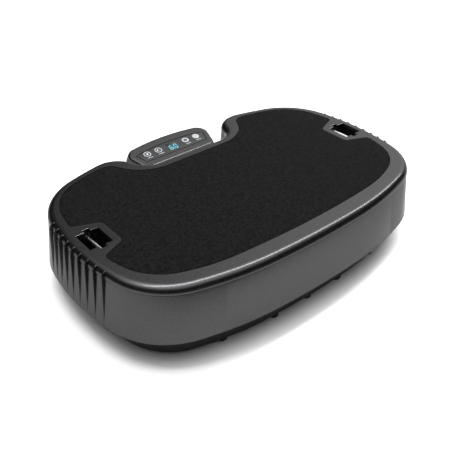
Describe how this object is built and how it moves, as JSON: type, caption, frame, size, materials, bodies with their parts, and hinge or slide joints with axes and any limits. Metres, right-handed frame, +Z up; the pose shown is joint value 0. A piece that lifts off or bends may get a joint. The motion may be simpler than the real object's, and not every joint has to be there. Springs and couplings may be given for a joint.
{
  "type": "vibration plate",
  "caption": "Low exercise platform with a rolled edge and matted top, spring-mounted over a black base, with a rotating unbalance, strap slots at both ends and a key console in a rear notch.",
  "frame": {"origin": "on the floor, under the middle of the machine's overall outline", "axes": "+X to the right along the long side, +Y to the back where the console is, +Z up"},
  "size_m": [0.6904, 0.4703, 0.154],
  "materials": {
    "graphite_shell": "satin metallic paint on moulded ABS",
    "black_base": "moulded, fine texture",
    "rocker_black": "glossy",
    "black_rubber": "matt",
    "mat_foam": "fine mottled grain",
    "panel_grey": "satin",
    "display_lens": "polished, dark",
    "display_light": "lit digits",
    "key_cap": "satin silver",
    "bright_bar": "polished",
    "zinc_steel": "zinc plated",
    "frame_steel": "mill finish",
    "motor_paint": "grey enamel",
    "cast_aluminium": "as cast",
    "bearing_steel": "ground",
    "core_iron": "laminated",
    "copper_wire": "enamelled",
    "pin_brass": "plated",
    "circuit_board": "solder mask",
    "component_black": "moulded"
  },
  "bodies": {
    "base": {"base_pan": "black_base", "rubber_feet": "black_rubber", "foot_screws": "zinc_steel", "isolator_mounts": "black_rubber", "isolator_lower_plates": "zinc_steel", "console_tower": "black_base", "tower_screws": "zinc_steel", "console_housing": "graphite_shell", "console_tray": "black_base", "control_panel": "panel_grey", "display_window": "display_lens", "display_module": "display_light", "console_board": "circuit_board", "key_switches": "component_black", "console_screws": "zinc_steel", "power_inlet": "black_base", "inlet_pins": "pin_brass", "inlet_screws": "zinc_steel", "fuse_drawer": "black_base", "switch_frame": "black_base", "control_board": "circuit_board", "heat_sink": "cast_aluminium", "drive_transistors": "component_black", "supply_capacitor": "component_black", "supply_transformer": "component_black", "board_screws": "zinc_steel", "supply_lead": "black_rubber"},
    "platform": {"top_cover": "graphite_shell", "side_skirt": "graphite_shell", "foot_mat": "mat_foam", "strap_cup_left": "black_base", "strap_cup_right": "black_base", "strap_bar_left": "bright_bar", "strap_bar_right": "bright_bar", "deck_plate": "frame_steel", "deck_channels": "frame_steel", "deck_screws": "zinc_steel", "isolator_upper_plates": "zinc_steel", "isolator_nuts": "zinc_steel", "motor_bracket": "frame_steel", "motor_strap": "frame_steel", "bracket_bolts": "zinc_steel", "motor_case": "motor_paint", "motor_end_left": "cast_aluminium", "motor_end_right": "cast_aluminium", "bearing_left": "bearing_steel", "bearing_right": "bearing_steel", "stator": "core_iron", "stator_windings": "copper_wire"},
    "rotor": {"motor_shaft": "bearing_steel", "rotor_core": "core_iron", "eccentric_left": "core_iron", "eccentric_right": "core_iron", "weight_screws": "zinc_steel"},
    "start_key": {"start_key": "key_cap"},
    "program_key": {"program_key": "key_cap"},
    "intensity_key": {"intensity_key": "key_cap"},
    "time_key": {"time_key": "key_cap"},
    "switch_rocker": {"switch_rocker": "rocker_black"}
  },
  "joints": [
    {"name": "platform_shake", "type": "slide", "parent": "base", "child": "platform", "axis": [0, 0, 1], "range_m": [-0.003, 0.0015], "stiffness_N_per_m": 300000, "springref_m": 0.0005, "deforming": ["isolator_mounts"]},
    {"name": "rotor_spin", "type": "hinge", "parent": "platform", "child": "rotor", "pos_m": [0, -0.02818, 0.082], "axis": [1, 0, 0], "continuous": true},
    {"name": "start_key_press", "type": "slide", "parent": "base", "child": "start_key", "axis": [0, 0.1736, -0.9848], "range_m": [0, 0.0007], "stiffness_N_per_m": 1500, "springref_m": -0.001},
    {"name": "program_key_press", "type": "slide", "parent": "base", "child": "program_key", "axis": [0, 0.1736, -0.9848], "range_m": [0, 0.0007], "stiffness_N_per_m": 1500, "springref_m": -0.001},
    {"name": "intensity_key_press", "type": "slide", "parent": "base", "child": "intensity_key", "axis": [0, 0.1736, -0.9848], "range_m": [0, 0.0007], "stiffness_N_per_m": 1500, "springref_m": -0.001},
    {"name": "time_key_press", "type": "slide", "parent": "base", "child": "time_key", "axis": [0, 0.1736, -0.9848], "range_m": [0, 0.0007], "stiffness_N_per_m": 1500, "springref_m": -0.001},
    {"name": "rocker_tilt", "type": "hinge", "parent": "base", "child": "switch_rocker", "pos_m": [0.028, 0.21562, 0.062], "axis": [1, 0, 0], "range_deg": [0, 22]}
  ]
}
